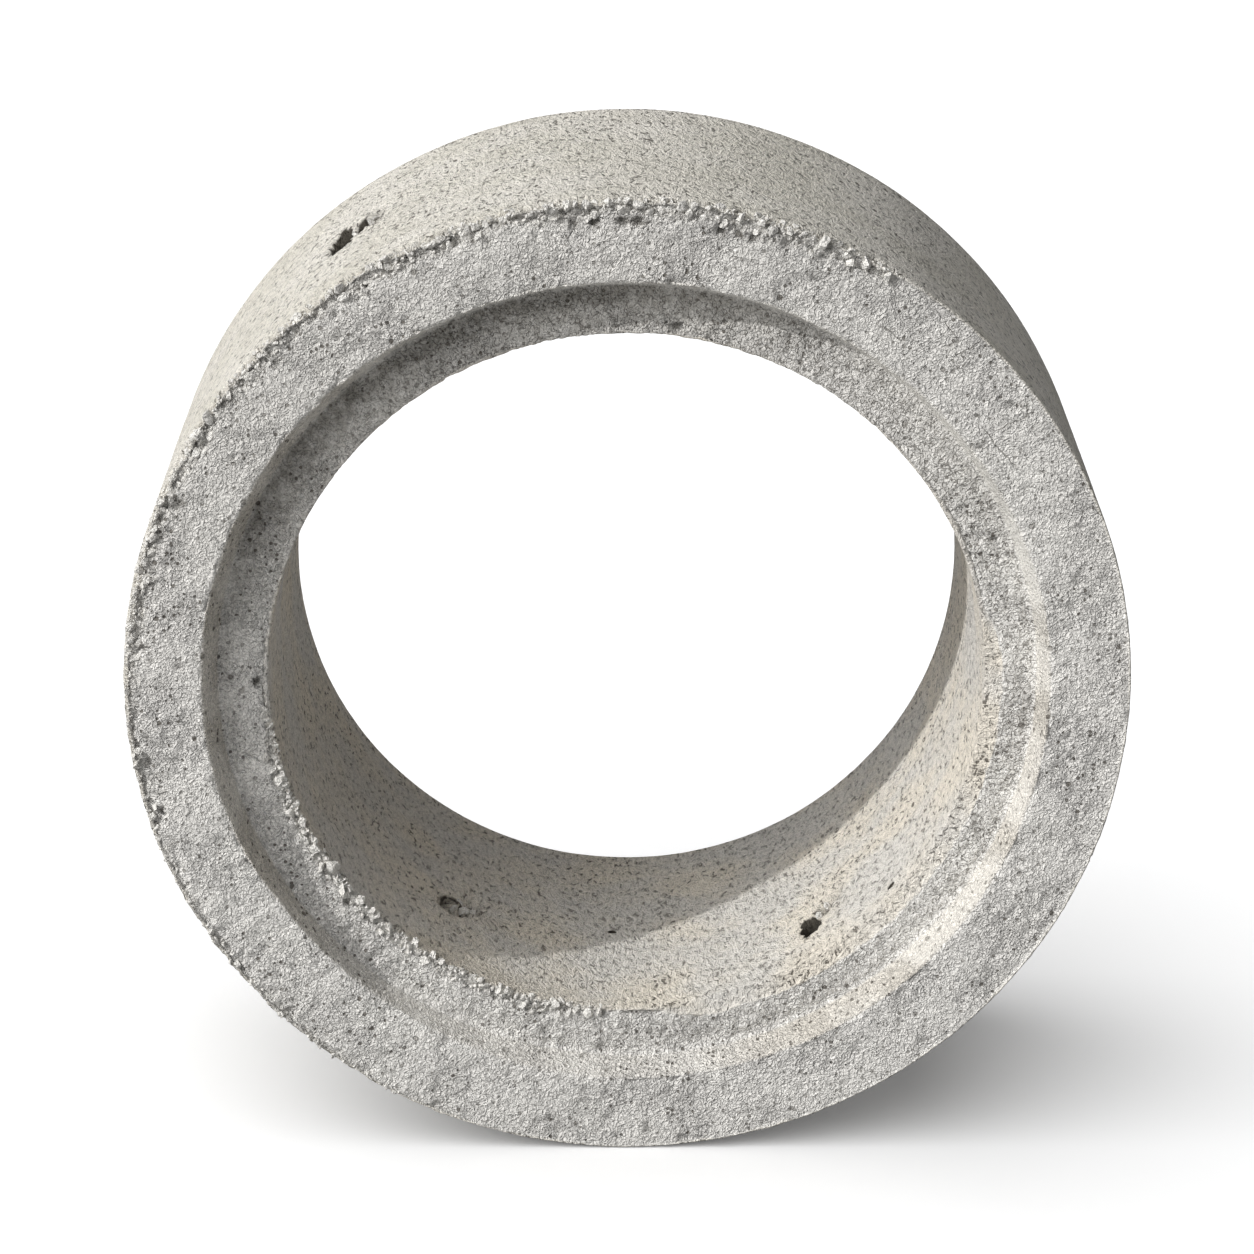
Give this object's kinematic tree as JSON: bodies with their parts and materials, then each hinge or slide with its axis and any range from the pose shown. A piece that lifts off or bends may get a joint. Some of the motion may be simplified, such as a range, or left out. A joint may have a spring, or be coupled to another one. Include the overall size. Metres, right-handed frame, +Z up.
{
  "type": "concrete manhole riser",
  "caption": "Precast concrete manhole riser ring with a rebate round the bore at one end and a matching tongue at the other.",
  "frame": {"origin": "on the floor under the middle of the ring, which stands on its rim", "axes": "the ring's axis runs along Y, the end with the rebate faces -Y, the end with the tongue faces +Y, and +Z is up"},
  "size_m": [0.8399, 0.375, 0.84],
  "materials": {
    "concrete": "rough cast concrete with open pores and crumbled edges"
  },
  "bodies": {
    "root": {"riser": "concrete"}
  },
  "joints": []
}
